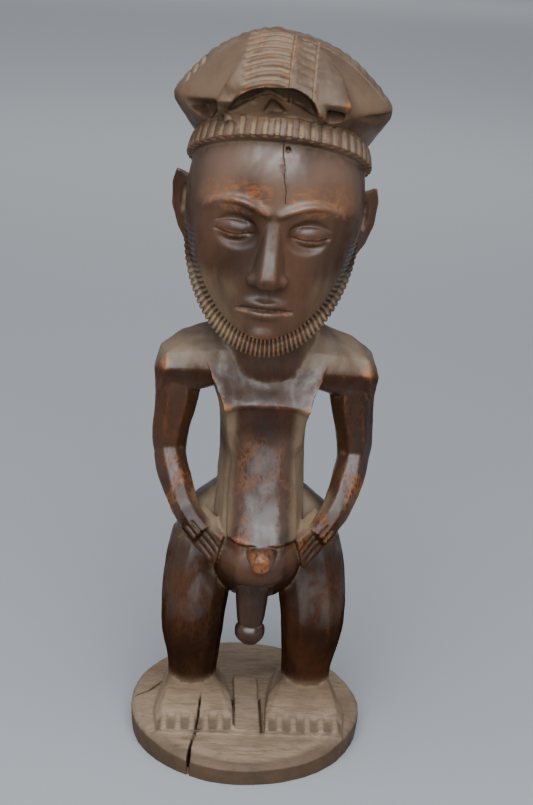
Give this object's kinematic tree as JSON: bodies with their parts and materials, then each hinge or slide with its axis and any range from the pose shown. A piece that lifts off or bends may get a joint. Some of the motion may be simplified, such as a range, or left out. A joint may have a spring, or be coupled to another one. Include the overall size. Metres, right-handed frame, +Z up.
{
  "type": "hemba ancestor figure",
  "caption": "Carved wooden standing ancestor figure, hands on belly, with fluted headband, spreading coiffure and round plinth, all one block.",
  "frame": {"origin": "centre of the plinth's flat underside, on the surface it stands on", "axes": "+Z up through the head, the figure faces -Y, +X is on the viewer's right"},
  "size_m": [0.1343, 0.1344, 0.4],
  "materials": {
    "carved_wood": "dark oiled hardwood, worn to a soft gloss, dusty in the carving"
  },
  "bodies": {
    "root": {"figure": "carved_wood"}
  },
  "joints": []
}
